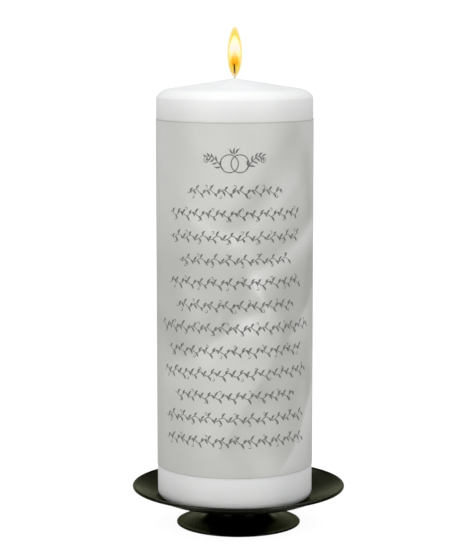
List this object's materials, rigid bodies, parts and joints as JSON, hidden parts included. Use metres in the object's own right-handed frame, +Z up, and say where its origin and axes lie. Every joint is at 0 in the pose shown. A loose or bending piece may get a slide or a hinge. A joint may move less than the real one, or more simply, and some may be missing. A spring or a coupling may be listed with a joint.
{
  "type": "unity candle",
  "caption": "Lit white pillar candle with a printed wrap, standing in a shallow black metal plate on a flared foot.",
  "frame": {"origin": "centre of the ring that the foot rests on, on the table", "axes": "+Z up along the candle; -Y towards the viewer who faces the front of the wrap; the wrap's lap is at the back, on +Y"},
  "size_m": [0.105, 0.105, 0.2449],
  "materials": {
    "black_metal": "satin",
    "zinc": "satin",
    "wax": "satin",
    "wrap": "satin",
    "wick": "matte",
    "tin": "satin",
    "flame": "matte"
  },
  "bodies": {
    "stand": {"plate": "black_metal", "foot": "black_metal", "stand_screw": "zinc", "spring_washer": "zinc", "stand_nut": "zinc"},
    "candle": {"wax_pillar": "wax", "printed_wrap": "wrap", "wick": "wick", "wick_tab": "tin", "flame": "flame"}
  },
  "joints": [
    {"name": "candle_lift", "type": "slide", "parent": "stand", "child": "candle", "axis": [0, 0, 1], "range_m": [0, 0.06]}
  ]
}
